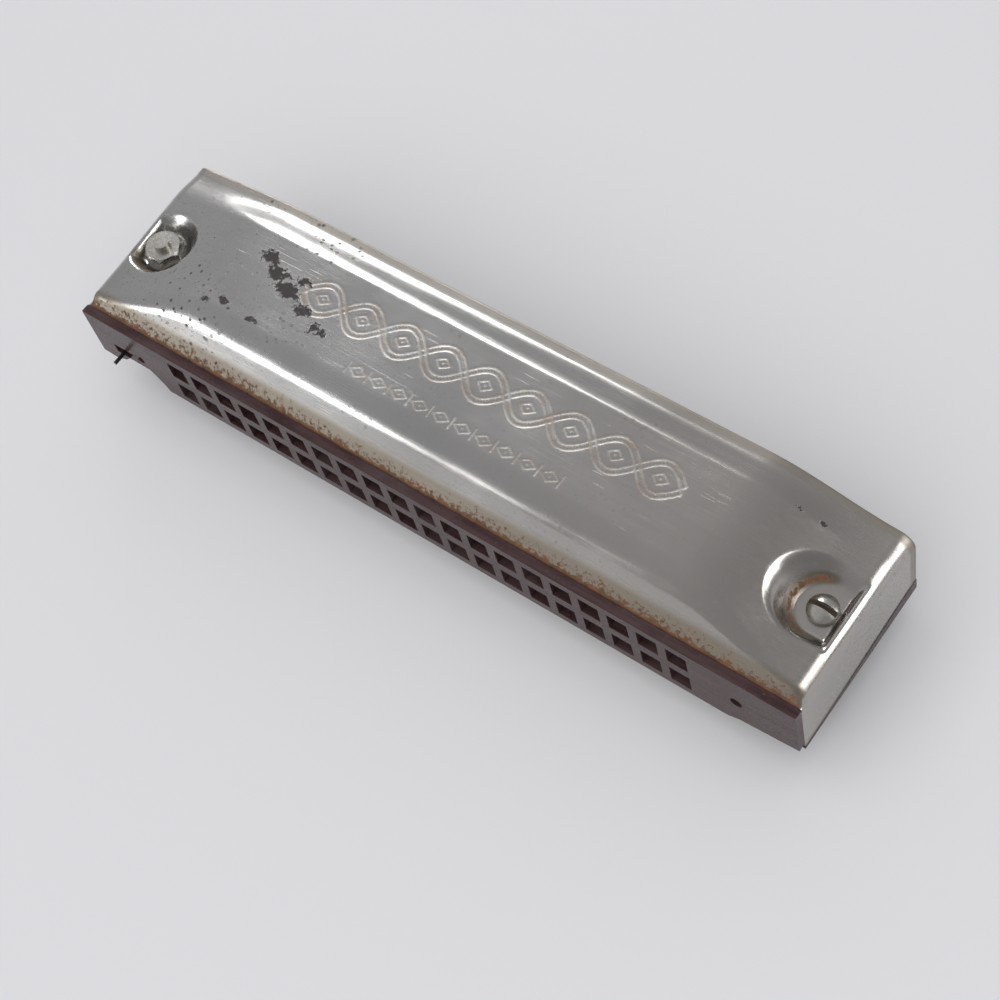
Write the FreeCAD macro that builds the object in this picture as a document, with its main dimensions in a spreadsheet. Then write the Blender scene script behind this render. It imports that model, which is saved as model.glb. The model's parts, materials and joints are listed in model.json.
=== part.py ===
"""Ten-hole chromatic harmonica: comb, two reed plates, forty reeds, valves, covers and bolts.

Frame: +X along the row of holes to the right, +Y from the mouth side to the open back, +Z up.
The origin is on the flat underside of the bottom cover, midway along X and Y of the comb.
The upper and lower halves mirror each other about the comb's middle plane.
"""

import FreeCAD, Part
import math
import os

import Sketcher

COLUMNS = 20
END_STATIONS = 6

# name, value in millimetres, what it measures
DIMENSIONS = [
    ("comb_length", 122.8, "comb over its end ledges"),
    ("comb_depth", 28.4, "comb from mouth side to back"),
    ("comb_height", 11.8, "comb over its front lips"),
    ("rim_depth", 2.2, "front rim that the mouth openings pass through"),
    ("hole_pitch", 4.57, "spacing of the columns of openings"),
    ("hole_width", 3.17, "width of an opening and of its chamber"),
    ("hole_height", 3.5, "height of an opening in the front rim"),
    ("row_gap", 1.9, "bar between the two rows of openings"),
    ("divider", 1.3, "floor between the upper and lower chambers"),
    ("end_rebate", 0.5, "step in each comb end that holds the top cover's end wall"),
    ("end_rebate_front", 1.3, "distance of that step from the comb's front"),
    ("ledge_front", 0.3, "height of the end ledge at the front"),
    ("ledge_back", 2.4, "height of the end ledge at the back"),
    ("plate_thickness", 1.0, "reed plate"),
    ("plate_length", 120.6, "reed plate"),
    ("plate_depth", 26.2, "reed plate"),
    ("plate_setback", 1.5, "reed plate's front edge behind the comb's front"),
    ("rebate_clearance", 0.1, "gap around the reed plate in its rebate"),
    ("slot_setback", 3.4, "tip end of every reed slot behind the comb's front"),
    ("slot_first", 17.0, "length of the lowest reed's slot"),
    ("slot_last", 9.5, "length of the highest reed's slot"),
    ("slot_width", 2.25, "reed slot"),
    ("slot_end_gap", 0.15, "gap between a reed's tip and its slot's end"),
    ("chamber_tail", 0.6, "chamber behind the reed's pad"),
    ("pad_length", 3.2, "riveted end of a reed"),
    ("pad_width", 2.7, "riveted end of a reed"),
    ("tongue_width", 2.09, "free end of a reed"),
    ("reed_thickness", 0.25, "reed"),
    ("reed_gap", 0.1, "rest gap between a reed and its plate or rivet head"),
    ("reed_hole_gap", 0.08, "radial gap between a reed and its rivet"),
    ("rivet_radius", 0.6, "rivet's shank"),
    ("rivet_head_radius", 1.0, "rivet's head over the reed's pad"),
    ("rivet_head_height", 0.35, "rivet's head over the reed's pad"),
    ("rivet_tail_radius", 0.75, "rivet's hammered end"),
    ("rivet_tail_height", 0.15, "rivet's hammered end"),
    ("valve_width", 2.6, "windsaver strip"),
    ("valve_thickness", 0.15, "windsaver strip"),
    ("valve_overlap", 0.5, "windsaver beyond each end of its slot"),
    ("nail_radius", 0.45, "reed plate nail's shank"),
    ("nail_head_radius", 0.85, "reed plate nail's head"),
    ("nail_head_height", 0.3, "reed plate nail's head"),
    ("nail_length", 3.6, "reed plate nail below its head"),
    ("nail_row_front", 3.9, "front row of nails behind the comb's front"),
    ("nail_row_back", 26.3, "back row of nails behind the comb's front"),
    ("nail_spacing", 22.85, "spacing of the nails along the plate"),
    ("cover_sheet", 0.45, "cover's sheet metal"),
    ("cover_rise", 7.0, "cover's crown above its seat"),
    ("cover_end_rise", 2.0, "cover's shoulder above its seat at each end"),
    ("cover_front", 1.4, "cover's front edge behind the comb's front"),
    ("cover_step_start", 22.4, "start of the cover's back step, behind the comb's front"),
    ("cover_step_end", 27.1, "end of the cover's back step, behind the comb's front"),
    ("cover_back", 28.3, "cover's back edge behind the comb's front"),
    ("flange_rise", 5.0, "cover's back flange above its seat, midway"),
    ("flange_end_rise", 1.6, "cover's back flange above its seat, at each end"),
    ("cover_ramp", 21.0, "length of the slope down to each end"),
    ("front_flank", 58.0, "cover's front flank from the horizontal, degrees"),
    ("shoulder_radius", 5.0, "cover's long shoulders"),
    ("recess_radius", 4.6, "floor of the stamped recess around each bolt"),
    ("recess_flare", 0.38, "growth of the recess's radius per millimetre of height"),
    ("bolt_spacing", 113.0, "distance between the two cover bolts"),
    ("bolt_radius", 1.2, "cover bolt's shank"),
    ("bolt_hole_radius", 1.3, "hole for a cover bolt"),
    ("bolt_end", 0.9, "bolt's end beyond its nut"),
    ("head_radius", 2.15, "slotted head of a cover bolt"),
    ("head_height", 1.5, "slotted head of a cover bolt"),
    ("head_rim", 0.5, "upright rim of the slotted head"),
    ("slot_cut_width", 0.8, "screwdriver slot"),
    ("slot_cut_depth", 0.7, "screwdriver slot"),
    ("nut_flats", 5.2, "cover nut across its flats"),
    ("nut_height", 2.0, "cover nut"),
    ("nut_chamfer", 0.45, "cover nut's top corners"),
    ("mouth_screw_spacing", 104.4, "distance between the two mouthpiece screw holes"),
    ("mouth_screw_radius", 0.9, "mouthpiece screw hole"),
    ("mouth_screw_depth", 8.0, "mouthpiece screw hole"),
    ("spring_cavity_left", 3.9, "spring cavity's left wall from the comb's left end"),
    ("spring_cavity_width", 4.6, "spring cavity"),
    ("spring_cavity_floor", 4.0, "spring cavity's floor above the comb's underside"),
    ("spring_cavity_height", 2.0, "spring cavity"),
    ("spring_cavity_depth", 11.0, "spring cavity behind the comb's front"),
    ("spring_pivot_x", 5.6, "spring's pivot from the comb's left end"),
    ("spring_pivot_y", 9.2, "spring's pivot behind the comb's front"),
    ("spring_wire_radius", 0.3, "slide return spring's wire"),
    ("spring_pin_height", 2.4, "spring's upright leg above its arm"),
    ("spring_bend_radius", 0.9, "bend between the spring's leg and its arm"),
    ("spring_reach", 2.2, "spring's arm in front of the comb"),
    ("spring_hole_gap", 0.05, "radial gap between the spring's leg and its hole"),
    ("spring_lift", 0.9, "spring's arm above its cavity's floor"),
    ("break_depth", 1.3, "broken places along the comb's lower front edge"),
]

doc = FreeCAD.newDocument("harmonica")
sheet = doc.addObject("Spreadsheet::Sheet", "Dims")
for row, (alias, value, meaning) in enumerate(DIMENSIONS, start=1):
    sheet.set("A%d" % row, meaning)
    sheet.set("B%d" % row, str(value))
    sheet.setAlias("B%d" % row, alias)
doc.recompute()

SUBPARTS = []


def dim(alias):
    """Value of one driving dimension."""
    return float(getattr(sheet, alias))


def slot_length(column):
    """Expression for the length of the reed slot in a column, counted from 0 at the left."""
    return "(Dims.slot_first - %d * (Dims.slot_first - Dims.slot_last) / %d)" % (column, COLUMNS - 1)


def column_x(column):
    """Expression for a column's middle, measured from the comb's left end."""
    return "(Dims.comb_length / 2 + %g * Dims.hole_pitch)" % (column - (COLUMNS - 1) / 2)


def value_of(expression):
    """Number that an expression over the sheet gives."""
    return float(sheet.evalExpression(expression.replace("Dims.", "")))


def keep(label, item):
    """Register a finished sub-part under its own name."""
    item.Label = label
    SUBPARTS.append(item)
    return item


def moved(x, y, z):
    """Placement that only shifts."""
    return FreeCAD.Placement(FreeCAD.Vector(x, y, z), FreeCAD.Rotation())


def new_body(name):
    """Empty PartDesign body."""
    return doc.addObject("PartDesign::Body", name + "_body")


def new_sketch(body, name, role, lift=0.0):
    """Sketch on one of the body's own origin planes, shifted along the plane's normal."""
    sketch = body.newObject("Sketcher::SketchObject", name)
    plane = next(item for item in body.Origin.OriginFeatures if item.Role == role)
    sketch.AttachmentSupport = [(plane, "")]
    sketch.MapMode = "FlatFace"
    sketch.AttachmentOffset = moved(0, 0, lift)
    return sketch


def bind(sketch, constraint, name, expression):
    """Add a named dimensional constraint that follows an expression."""
    index = sketch.addConstraint(constraint)
    sketch.renameConstraint(index, name)
    sketch.setExpression("Constraints." + name, expression)


def add_polygon(sketch, points):
    """Closed outline through the points, with joined corners."""
    corners = [FreeCAD.Vector(x, y, 0) for x, y in points]
    first = sketch.GeometryCount
    count = len(corners)
    for index in range(count):
        sketch.addGeometry(Part.LineSegment(corners[index], corners[(index + 1) % count]), False)
    for index in range(count):
        following = first + (index + 1) % count
        sketch.addConstraint(Sketcher.Constraint("Coincident", first + index, 2, following, 1))
    return first


def add_rectangle(sketch, name, left, bottom, width, height):
    """Rectangle whose corner and sides follow four expressions that give positive lengths."""
    x0 = value_of(left)
    y0 = value_of(bottom)
    x1 = x0 + value_of(width)
    y1 = y0 + value_of(height)
    first = add_polygon(sketch, [(x0, y0), (x1, y0), (x1, y1), (x0, y1)])
    for side in (0, 2):
        sketch.addConstraint(Sketcher.Constraint("Horizontal", first + side))
        sketch.addConstraint(Sketcher.Constraint("Vertical", first + side + 1))
    bind(sketch, Sketcher.Constraint("DistanceX", -1, 1, first, 1, x0), name + "_left", left)
    bind(sketch, Sketcher.Constraint("DistanceY", -1, 1, first, 1, y0), name + "_bottom", bottom)
    bind(sketch, Sketcher.Constraint("DistanceX", first, 1, first, 2, x1 - x0), name + "_width", width)
    bind(sketch, Sketcher.Constraint("DistanceY", first + 1, 1, first + 1, 2, y1 - y0),
         name + "_height", height)


def add_circle(sketch, name, across, up, radius):
    """Circle whose centre and radius follow three expressions."""
    x0 = value_of(across)
    y0 = value_of(up)
    circle = Part.Circle(FreeCAD.Vector(x0, y0, 0), FreeCAD.Vector(0, 0, 1), value_of(radius))
    index = sketch.addGeometry(circle, False)
    bind(sketch, Sketcher.Constraint("DistanceX", -1, 1, index, 3, x0), name + "_x", across)
    bind(sketch, Sketcher.Constraint("DistanceY", -1, 1, index, 3, y0), name + "_y", up)
    bind(sketch, Sketcher.Constraint("Radius", index, value_of(radius)), name + "_radius", radius)


def pad(body, sketch, length):
    """Pad a sketch along its normal by an expression."""
    feature = body.newObject("PartDesign::Pad", sketch.Name + "_pad")
    feature.Profile = sketch
    feature.setExpression("Length", length)
    sketch.Visibility = False
    doc.recompute()
    return feature


def pocket(body, sketch, length, towards_normal=False):
    """Pocket a sketch by an expression, and check that it removes material."""
    before = body.Shape.Volume
    feature = body.newObject("PartDesign::Pocket", sketch.Name + "_cut")
    feature.Profile = sketch
    feature.Reversed = towards_normal
    feature.setExpression("Length", length)
    sketch.Visibility = False
    doc.recompute()
    if not body.Shape.Volume < before - 1e-6:
        raise RuntimeError(sketch.Name + " cuts nothing")
    return feature


def nail_places():
    """Expressions for the nails' places, measured from the comb's left front corner."""
    places = []
    for row in ("Dims.nail_row_front", "Dims.nail_row_back"):
        for step in range(-2, 3):
            places.append(("Dims.comb_length / 2 + %d * Dims.nail_spacing" % step, row))
    return places


def add_nail_circles(sketch):
    """One circle per nail, where a nail goes through or into a piece."""
    for index, (across, behind) in enumerate(nail_places()):
        add_circle(sketch, "nail%d" % index, across, behind, "Dims.nail_radius")


# --- positions shared by several pieces -------------------------------------------------------

COMB_LEFT = -dim("comb_length") / 2
COMB_FRONT = -dim("comb_depth") / 2
COMB_BOTTOM = dim("cover_rise")
MIDDLE = COMB_BOTTOM + dim("comb_height") / 2
SEAT = dim("comb_height") / 2
COVER_END = dim("comb_length") / 2 - dim("cover_sheet")
END_SHOULDER = 0.7
PLATE_INNER = SEAT - dim("plate_thickness")
BOLT_X = dim("bolt_spacing") / 2


def rivet_y(column):
    """Rivet's distance behind the comb's front."""
    return dim("slot_setback") + value_of(slot_length(column)) + dim("pad_length") / 2


# --- comb ---------------------------------------------------------------------------------------


def cut_mouth_openings(body):
    """Two rows of square openings through the front rim."""
    sketch = new_sketch(body, "mouth_openings", "XZ_Plane")
    column = column_x(0)
    left = column + " - Dims.hole_width / 2"
    lower = "Dims.comb_height / 2 - Dims.row_gap / 2 - Dims.hole_height"
    upper = "Dims.comb_height / 2 + Dims.row_gap / 2"
    add_rectangle(sketch, "lower", left, lower, "Dims.hole_width", "Dims.hole_height")
    add_rectangle(sketch, "upper", left, upper, "Dims.hole_width", "Dims.hole_height")
    cut = pocket(body, sketch, "Dims.rim_depth + Dims.rebate_clearance")
    pattern = body.newObject("PartDesign::LinearPattern", "mouth_opening_row")
    pattern.Originals = [cut]
    pattern.Direction = (sketch, ["H_Axis"])
    pattern.setExpression("Length", "%d * Dims.hole_pitch" % (COLUMNS - 1))
    pattern.Occurrences = COLUMNS
    body.Tip = pattern
    doc.recompute()


def cut_chambers(body, name, lift, towards_normal):
    """One chamber per column, open to the reed plate and longer towards the low notes."""
    sketch = new_sketch(body, name, "XY_Plane", lift)
    around_reed = "Dims.slot_setback - Dims.rim_depth + Dims.pad_length + Dims.chamber_tail"
    for column in range(COLUMNS):
        left = column_x(column) + " - Dims.hole_width / 2"
        length = around_reed + " + " + slot_length(column)
        add_rectangle(sketch, "chamber%d" % column, left, "Dims.rim_depth", "Dims.hole_width", length)
    depth = "(Dims.comb_height - Dims.divider) / 2"
    pocket(body, sketch, depth, towards_normal)


def cut_plate_rebate(body, name, lift, towards_normal):
    """Step behind the front lip that a reed plate lies in."""
    sketch = new_sketch(body, name, "XY_Plane", lift)
    left = "(Dims.comb_length - Dims.plate_length) / 2 - Dims.rebate_clearance"
    front = "Dims.plate_setback - Dims.rebate_clearance"
    width = "Dims.plate_length + 2 * Dims.rebate_clearance"
    add_rectangle(sketch, "rebate", left, front, width, "Dims.comb_depth - Dims.plate_setback + 1")
    pocket(body, sketch, "Dims.plate_thickness", towards_normal)


def cut_end_rebate(body, name, lift, towards_normal):
    """Step in one end of the comb for the top cover's wall, above a sloping ledge."""
    sketch = new_sketch(body, name, "YZ_Plane", lift)
    front = dim("end_rebate_front")
    back = dim("comb_depth") + 1
    top = dim("comb_height") + 1
    points = [(front, dim("ledge_front")), (back, dim("ledge_back")), (back, top), (front, top)]
    add_polygon(sketch, points)
    pocket(body, sketch, "Dims.end_rebate", towards_normal)


def cut_round_holes(body):
    """Bolt holes down through the ends, screw holes in the front, and the spring leg's hole."""
    bolts = new_sketch(body, "bolt_holes", "XY_Plane")
    for name, side in (("left", "-"), ("right", "+")):
        across = "Dims.comb_length / 2 %s Dims.bolt_spacing / 2" % side
        add_circle(bolts, name, across, "Dims.comb_depth / 2", "Dims.bolt_hole_radius")
    pocket(body, bolts, "Dims.comb_height", True)
    screws = new_sketch(body, "mouth_screw_holes", "XZ_Plane")
    for name, side in (("left", "-"), ("right", "+")):
        across = "Dims.comb_length / 2 %s Dims.mouth_screw_spacing / 2" % side
        add_circle(screws, name, across, "Dims.comb_height / 2", "Dims.mouth_screw_radius")
    pocket(body, screws, "Dims.mouth_screw_depth")


def cut_nail_holes(body, name, lift, towards_normal):
    """Holes for the nails of one reed plate, measured from the comb's face down."""
    sketch = new_sketch(body, name, "XY_Plane", lift)
    add_nail_circles(sketch)
    pocket(body, sketch, "Dims.nail_length", towards_normal)


def cut_spring_cavity(body):
    """Slot in the left end for the slide return spring, with a hole for the spring's leg."""
    cavity = new_sketch(body, "spring_cavity", "XZ_Plane")
    add_rectangle(cavity, "cavity", "Dims.spring_cavity_left", "Dims.spring_cavity_floor",
                  "Dims.spring_cavity_width", "Dims.spring_cavity_height")
    pocket(body, cavity, "Dims.spring_cavity_depth")
    leg_top = dim("spring_cavity_floor") + dim("spring_lift") + dim("spring_pin_height") + 0.2
    leg = new_sketch(body, "spring_leg_hole", "XY_Plane", leg_top)
    add_circle(leg, "leg", "Dims.spring_pivot_x", "Dims.spring_pivot_y",
               "Dims.spring_wire_radius + Dims.spring_hole_gap")
    pocket(body, leg, "Dims.spring_pin_height")


def break_front_edge(body):
    """Pieces broken out of the lower front edge, outlined from each end and from the underside."""
    length = dim("comb_length")
    left_break = [(-1, 1.7), (0.5, 1.6), (2.6, 1.5), (5.0, 2.6), (6.4, 4.0), (8.2, 5.0), (9.9, 4.4),
                  (11.4, 2.8), (12.6, 0.9), (13.4, -1), (-1, -1)]
    right_break = [(-1, 1.9), (4.5, 1.3), (9.0, 0.8), (13.5, -1), (-1, -1)]
    mirrored = [(length - across, up) for across, up in right_break]
    for name, points in (("left_break", left_break), ("right_break", mirrored)):
        sketch = new_sketch(body, name, "XZ_Plane")
        add_polygon(sketch, points)
        pocket(body, sketch, "Dims.break_depth")


def make_comb():
    """Lacquered comb that carries everything else."""
    body = new_body("comb")
    outline = new_sketch(body, "comb_outline", "XY_Plane")
    add_rectangle(outline, "outline", "0 mm", "0 mm", "Dims.comb_length", "Dims.comb_depth")
    pad(body, outline, "Dims.comb_height")
    cut_mouth_openings(body)
    cut_chambers(body, "upper_chambers", dim("comb_height"), False)
    cut_chambers(body, "lower_chambers", 0, True)
    cut_plate_rebate(body, "upper_rebate", dim("comb_height"), False)
    cut_plate_rebate(body, "lower_rebate", 0, True)
    cut_end_rebate(body, "left_end_rebate", 0, True)
    cut_end_rebate(body, "right_end_rebate", dim("comb_length"), False)
    cut_round_holes(body)
    cut_nail_holes(body, "upper_nail_holes", dim("comb_height"), False)
    cut_nail_holes(body, "lower_nail_holes", 0, True)
    cut_spring_cavity(body)
    break_front_edge(body)
    body.Placement = moved(COMB_LEFT, COMB_FRONT, COMB_BOTTOM)
    keep("comb", body)


# --- reed plates --------------------------------------------------------------------------------


def make_reed_plate(label, bottom):
    """Brass plate with a slot and a rivet hole for each of its reeds."""
    body = new_body(label)
    outline = new_sketch(body, label + "_outline", "XY_Plane")
    left = "(Dims.comb_length - Dims.plate_length) / 2"
    add_rectangle(outline, "plate", left, "Dims.plate_setback", "Dims.plate_length", "Dims.plate_depth")
    pad(body, outline, "Dims.plate_thickness")
    slots = new_sketch(body, label + "_slots", "XY_Plane")
    for column in range(COLUMNS):
        slot_left = column_x(column) + " - Dims.slot_width / 2"
        add_rectangle(slots, "slot%d" % column, slot_left, "Dims.slot_setback",
                      "Dims.slot_width", slot_length(column))
    pocket(body, slots, "Dims.plate_thickness", True)
    holes = new_sketch(body, label + "_holes", "XY_Plane")
    for column in range(COLUMNS):
        behind = "Dims.slot_setback + Dims.pad_length / 2 + " + slot_length(column)
        add_circle(holes, "rivet%d" % column, column_x(column), behind, "Dims.rivet_radius")
    for name, side in (("left", "-"), ("right", "+")):
        across = "Dims.comb_length / 2 %s Dims.bolt_spacing / 2" % side
        add_circle(holes, name + "_bolt", across, "Dims.comb_depth / 2", "Dims.bolt_hole_radius")
    add_nail_circles(holes)
    pocket(body, holes, "Dims.plate_thickness", True)
    body.Placement = moved(COMB_LEFT, COMB_FRONT, bottom)
    keep(label, body)


# --- reeds, rivets and valves -------------------------------------------------------------------


def make_reed(label, column, bottom):
    """Brass tongue with a wider riveted pad; its rivet is at the body's own origin."""
    body = new_body(label)
    sketch = new_sketch(body, label + "_outline", "XY_Plane")
    tongue = value_of(slot_length(column)) - dim("slot_end_gap")
    half_pad = dim("pad_width") / 2
    half_length = dim("pad_length") / 2
    half_tongue = dim("tongue_width") / 2
    tip = -half_length - tongue
    right_side = [(half_pad, half_length), (half_pad, -half_length),
                  (half_tongue, -half_length), (half_tongue, tip)]
    left_side = [(-across, along) for across, along in right_side]
    first = add_polygon(sketch, [left_side[0]] + right_side + left_side[:0:-1])
    for side in (2, 6):
        sketch.addConstraint(Sketcher.Constraint("Horizontal", first + side))
    for side in (1, 3, 5, 7):
        sketch.addConstraint(Sketcher.Constraint("Vertical", first + side))
    for side in (0, 4):
        sketch.addConstraint(Sketcher.Constraint("Symmetric", first + side, 1, first + side, 2, -2))
    sketch.addConstraint(Sketcher.Constraint("Equal", first + 1, first + 7))
    bind(sketch, Sketcher.Constraint("DistanceY", -1, 1, first, 1, half_length),
         "pad_back", "Dims.pad_length / 2")
    bind(sketch, Sketcher.Constraint("DistanceX", first, 1, first, 2, 2 * half_pad),
         "pad_width", "Dims.pad_width")
    bind(sketch, Sketcher.Constraint("DistanceY", first + 1, 2, first + 1, 1, 2 * half_length),
         "pad_length", "Dims.pad_length")
    bind(sketch, Sketcher.Constraint("DistanceX", first + 4, 2, first + 4, 1, 2 * half_tongue),
         "tongue_width", "Dims.tongue_width")
    bind(sketch, Sketcher.Constraint("DistanceY", first + 3, 2, first + 3, 1, tongue),
         "tongue_length", slot_length(column) + " - Dims.slot_end_gap")
    hole_radius = dim("rivet_radius") + dim("reed_hole_gap")
    hole = Part.Circle(FreeCAD.Vector(0, 0, 0), FreeCAD.Vector(0, 0, 1), hole_radius)
    index = sketch.addGeometry(hole, False)
    sketch.addConstraint(Sketcher.Constraint("Coincident", index, 3, -1, 1))
    bind(sketch, Sketcher.Constraint("Radius", index, hole.Radius),
         "hole_radius", "Dims.rivet_radius + Dims.reed_hole_gap")
    pad(body, sketch, "Dims.reed_thickness")
    x = COMB_LEFT + value_of(column_x(column))
    body.Placement = moved(x, COMB_FRONT + rivet_y(column), bottom)
    keep(label, body)


def is_inner(column):
    """Blow reeds sit inside the chambers, in every other column; draw reeds sit outside."""
    return column % 2 == 0


def make_reeds(side, up):
    """Twenty reeds of one plate; up is +1 for the upper plate and -1 for the lower one."""
    gap = dim("reed_gap")
    thickness = dim("reed_thickness")
    for column in range(COLUMNS):
        number = column // 2 + 1
        kind = "blow" if is_inner(column) else "draw"
        if is_inner(column):
            middle = PLATE_INNER - gap - thickness / 2
        else:
            middle = SEAT + gap + thickness / 2
        bottom = MIDDLE + up * middle - thickness / 2
        make_reed("%s_%s_reed_%02d" % (side, kind, number), column, bottom)


def group(label, solids, up):
    """Several separate solids as one sub-part, built above the middle plane, mirrored for the lower half."""
    compound = Part.makeCompound(solids)
    if up < 0:
        compound = compound.mirror(FreeCAD.Vector(0, 0, 0), FreeCAD.Vector(0, 0, 1))
    item = doc.addObject("Part::Feature", label + "_group")
    item.Shape = compound
    item.Placement = moved(COMB_LEFT, COMB_FRONT, MIDDLE)
    keep(label, item)


def make_rivets(side, up):
    """One rivet per reed: a head over the pad, a shank and a hammered tail."""
    stack = 2 * dim("reed_gap") + dim("reed_thickness")
    solids = []
    for column in range(COLUMNS):
        x = value_of(column_x(column))
        y = rivet_y(column)
        outward = -1 if is_inner(column) else 1
        head_face = PLATE_INNER if is_inner(column) else SEAT
        tail_face = SEAT if is_inner(column) else PLATE_INNER
        along = FreeCAD.Vector(0, 0, outward)
        shank_start = FreeCAD.Vector(x, y, tail_face)
        head_start = FreeCAD.Vector(x, y, head_face + outward * stack)
        tail_start = FreeCAD.Vector(x, y, tail_face - outward * dim("rivet_tail_height"))
        shank = Part.makeCylinder(dim("rivet_radius"), dim("plate_thickness") + stack, shank_start, along)
        head = Part.makeCylinder(dim("rivet_head_radius"), dim("rivet_head_height"), head_start, along)
        tail = Part.makeCylinder(dim("rivet_tail_radius"), dim("rivet_tail_height"), tail_start, along)
        solids.append(shank.fuse(head).fuse(tail).removeSplitter())
    group(side + "_reed_rivets", solids, up)


def make_valves(side, up):
    """Windsaver strips opposite each reed: outer ones over blow reeds, inner ones under draw reeds."""
    width = dim("valve_width")
    overlap = dim("valve_overlap")
    thickness = dim("valve_thickness")
    front = dim("slot_setback") - overlap
    for kind, inner_reeds, bottom in (("outer", True, SEAT), ("inner", False, PLATE_INNER - thickness)):
        solids = []
        for column in range(COLUMNS):
            if is_inner(column) == inner_reeds:
                corner = FreeCAD.Vector(value_of(column_x(column)) - width / 2, front, bottom)
                length = value_of(slot_length(column)) + 2 * overlap
                solids.append(Part.makeBox(width, length, thickness, corner))
        group("%s_%s_valves" % (side, kind), solids, up)


def make_nails(side, up):
    """Small nails that hold one reed plate down on the comb."""
    solids = []
    for across, behind in nail_places():
        x = value_of(across)
        y = value_of(behind)
        top = FreeCAD.Vector(x, y, SEAT)
        head = Part.makeCylinder(dim("nail_head_radius"), dim("nail_head_height"), top)
        shank_length = dim("nail_length")
        shank = Part.makeCylinder(dim("nail_radius"), shank_length, FreeCAD.Vector(x, y, SEAT - shank_length))
        solids.append(head.fuse(shank).removeSplitter())
    group(side + "_plate_nails", solids, up)


# --- covers -------------------------------------------------------------------------------------


def between(x, end_value, middle_value):
    """Value at a cover's end, changing smoothly up its slope to the value over its level middle."""
    inside = COVER_END - abs(x)
    share = max(0.0, min(1.0, inside / dim("cover_ramp")))
    return end_value + (middle_value - end_value) * share * share * (3 - 2 * share)


def cover_outline(x, inset):
    """Corner and arc points of the cover's section at x, drawn in from the outer skin by inset."""
    top = between(x, dim("cover_end_rise"), dim("cover_rise"))
    flange = between(x, dim("flange_end_rise"), dim("flange_rise"))
    angle = math.radians(dim("front_flank"))
    shoulder = min(dim("shoulder_radius"), END_SHOULDER * top)
    radius = shoulder - inset
    rise = top - inset
    front = dim("cover_front") + inset / math.sin(angle)
    corner = front + rise / math.tan(angle)
    reach = radius * math.tan(angle / 2)
    bow = math.radians(90) + angle / 2
    outline = [
        (front, 0),
        (corner - reach * math.cos(angle), rise - reach * math.sin(angle)),
        (corner + reach + radius * math.cos(bow), rise - radius + radius * math.sin(bow)),
        (corner + reach, rise),
    ]
    start = dim("cover_step_start")
    end = dim("cover_step_end")
    half_step = (end - start) / 2
    half_drop = (top - flange) / 2
    bend = (half_step ** 2 + half_drop ** 2) / (2 * half_drop)
    slope = 2 * math.atan(half_drop / half_step)
    upper_bend = bend - inset
    lower_bend = bend + inset
    for tilt in (0, slope / 2, slope):
        outline.append((start + upper_bend * math.sin(tilt), top - bend + upper_bend * math.cos(tilt)))
    for tilt in (slope / 2, 0):
        outline.append((end - lower_bend * math.sin(tilt), flange + bend - lower_bend * math.cos(tilt)))
    outline.append((dim("cover_back"), flange - inset))
    return outline


def skin_edges(x, points):
    """Flank, shoulder, crown, the two bends of the back step and the flange, from front to back."""
    spots = [FreeCAD.Vector(x, y, z) for y, z in points]
    return [
        Part.LineSegment(spots[0], spots[1]).toShape(),
        Part.Arc(spots[1], spots[2], spots[3]).toShape(),
        Part.LineSegment(spots[3], spots[4]).toShape(),
        Part.Arc(spots[4], spots[5], spots[6]).toShape(),
        Part.Arc(spots[6], spots[7], spots[8]).toShape(),
        Part.LineSegment(spots[8], spots[9]).toShape(),
    ]


def join(x, start, end):
    """Straight edge between two points of one section."""
    return Part.LineSegment(FreeCAD.Vector(x, *start), FreeCAD.Vector(x, *end)).toShape()


def sheet_section(x):
    """Closed outline of the thin sheet at x."""
    outer = cover_outline(x, 0)
    inner = cover_outline(x, dim("cover_sheet"))
    edges = skin_edges(x, outer) + [join(x, outer[-1], inner[-1])]
    edges += skin_edges(x, inner)[::-1] + [join(x, inner[0], outer[0])]
    return Part.Wire(Part.__sortEdges__(edges))


def filled_section(x):
    """Closed outline of all the space that the cover's outer skin encloses at x."""
    outer = cover_outline(x, 0)
    foot = (outer[-1][0], 0)
    edges = skin_edges(x, outer) + [join(x, outer[-1], foot), join(x, foot, outer[0])]
    return Part.Wire(Part.__sortEdges__(edges))


def cover_stations():
    """Sections along X: close together on the two slopes, and none in the level middle."""
    steps = [COVER_END - dim("cover_ramp") * step / END_STATIONS for step in range(END_STATIONS + 1)]
    return [-x for x in steps] + steps[::-1]


def end_wall(side, foot):
    """Wall that closes one end of a cover; foot lists its lower corners from the back to the front."""
    x = COVER_END if side > 0 else -COVER_END - dim("cover_sheet")
    outer = cover_outline(COVER_END, 0)
    corners = [outer[-1]] + foot + [outer[0]]
    edges = skin_edges(x, outer) + [join(x, start, end) for start, end in zip(corners, corners[1:])]
    face = Part.Face(Part.Wire(Part.__sortEdges__(edges)))
    return face.extrude(FreeCAD.Vector(dim("cover_sheet"), 0, 0))


def recess_cone(x, inset):
    """Flaring plug around a bolt: the outer one bounds the recess's metal, the inset one its hollow."""
    height = dim("cover_rise") + 1
    floor = dim("cover_sheet") if inset else 0
    low = dim("recess_radius") + dim("recess_flare") * floor - inset
    high = dim("recess_radius") + dim("recess_flare") * height - inset
    return Part.makeCone(low, high, height - floor, FreeCAD.Vector(x, dim("comb_depth") / 2, floor))


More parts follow.
